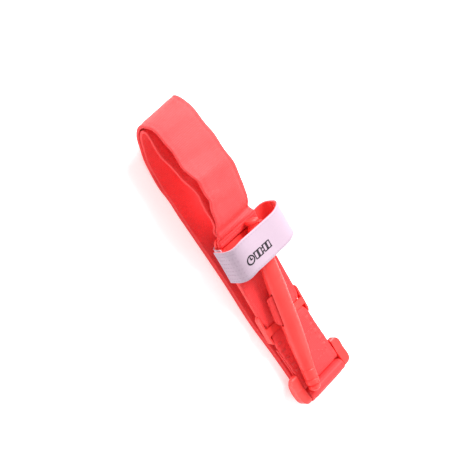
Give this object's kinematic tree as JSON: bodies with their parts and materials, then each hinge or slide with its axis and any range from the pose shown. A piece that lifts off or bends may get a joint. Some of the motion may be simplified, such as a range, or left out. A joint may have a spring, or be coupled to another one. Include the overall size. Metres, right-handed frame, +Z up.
{
  "type": "windlass tourniquet",
  "caption": "Red windlass tourniquet stored as a flat doubled band, with a rod, rod clip, stabilizing plate, one-hand buckle and a white write-on strap.",
  "frame": {"origin": "on the surface the stored tourniquet lies on, under the middle of its length and of the sleeve's width", "axes": "+X along the band towards the buckle, +Y across the band, +Z up from the surface"},
  "size_m": [0.2297, 0.0605, 0.0412],
  "materials": {
    "red_sleeve_fabric": "matte woven",
    "inner_band_webbing": "matte woven",
    "red_hook_and_loop": "matte napped",
    "red_thread": "matte",
    "white_write_on_fabric": "smooth satin",
    "white_thread": "matte",
    "red_plastic": "satin moulded"
  },
  "bodies": {
    "band": {"stabilizer_plate": "red_plastic", "windlass_clip": "red_plastic", "clip_rivet_1": "red_plastic", "clip_rivet_2": "red_plastic", "clip_rivet_3": "red_plastic", "clip_rivet_4": "red_plastic", "sleeve_front_inner_run": "red_sleeve_fabric", "sleeve_rear_inner_run": "red_sleeve_fabric", "tension_band_inner_run": "inner_band_webbing", "seam_left_inner_run": "red_thread", "seam_right_inner_run": "red_thread", "sleeve_front_outer_run": "red_sleeve_fabric", "sleeve_rear_outer_run": "red_sleeve_fabric", "tension_band_outer_run": "inner_band_webbing", "seam_left_outer_run": "red_thread", "seam_right_outer_run": "red_thread", "window_binding": "red_thread", "buckle_end_stitching": "red_thread", "tail_hem": "red_sleeve_fabric", "strap_anchor_face": "white_write_on_fabric", "strap_anchor_backing": "red_hook_and_loop", "strap_hook_patch": "red_hook_and_loop"},
    "windlass": {"windlass_rod": "red_plastic", "windlass_strand_loop": "inner_band_webbing"},
    "strap_flap": {"strap_face": "white_write_on_fabric", "strap_backing": "red_hook_and_loop", "strap_stitching": "white_thread"},
    "buckle": {"buckle_frame": "red_plastic", "sleeve_front_bend": "red_sleeve_fabric", "sleeve_rear_bend": "red_sleeve_fabric", "tension_band_bend": "inner_band_webbing", "seam_left_bend": "red_thread", "seam_right_bend": "red_thread"}
  },
  "joints": [
    {"name": "windlass_turn", "type": "hinge", "parent": "band", "child": "windlass", "pos_m": [0.04221, -0.0027, 0.02351], "axis": [0.1219, 0, 0.9925], "range_deg": [-2, 16.5]},
    {"name": "strap_open", "type": "hinge", "parent": "band", "child": "strap_flap", "pos_m": [-0.007, 0.03305, 0.02723], "axis": [-0.9925, 0, 0.1219], "range_deg": [0, 150]},
    {"name": "buckle_swing", "type": "hinge", "parent": "band", "child": "buckle", "pos_m": [0.101, 0, 0.00895], "axis": [0, -1, 0], "range_deg": [0, 9]}
  ]
}
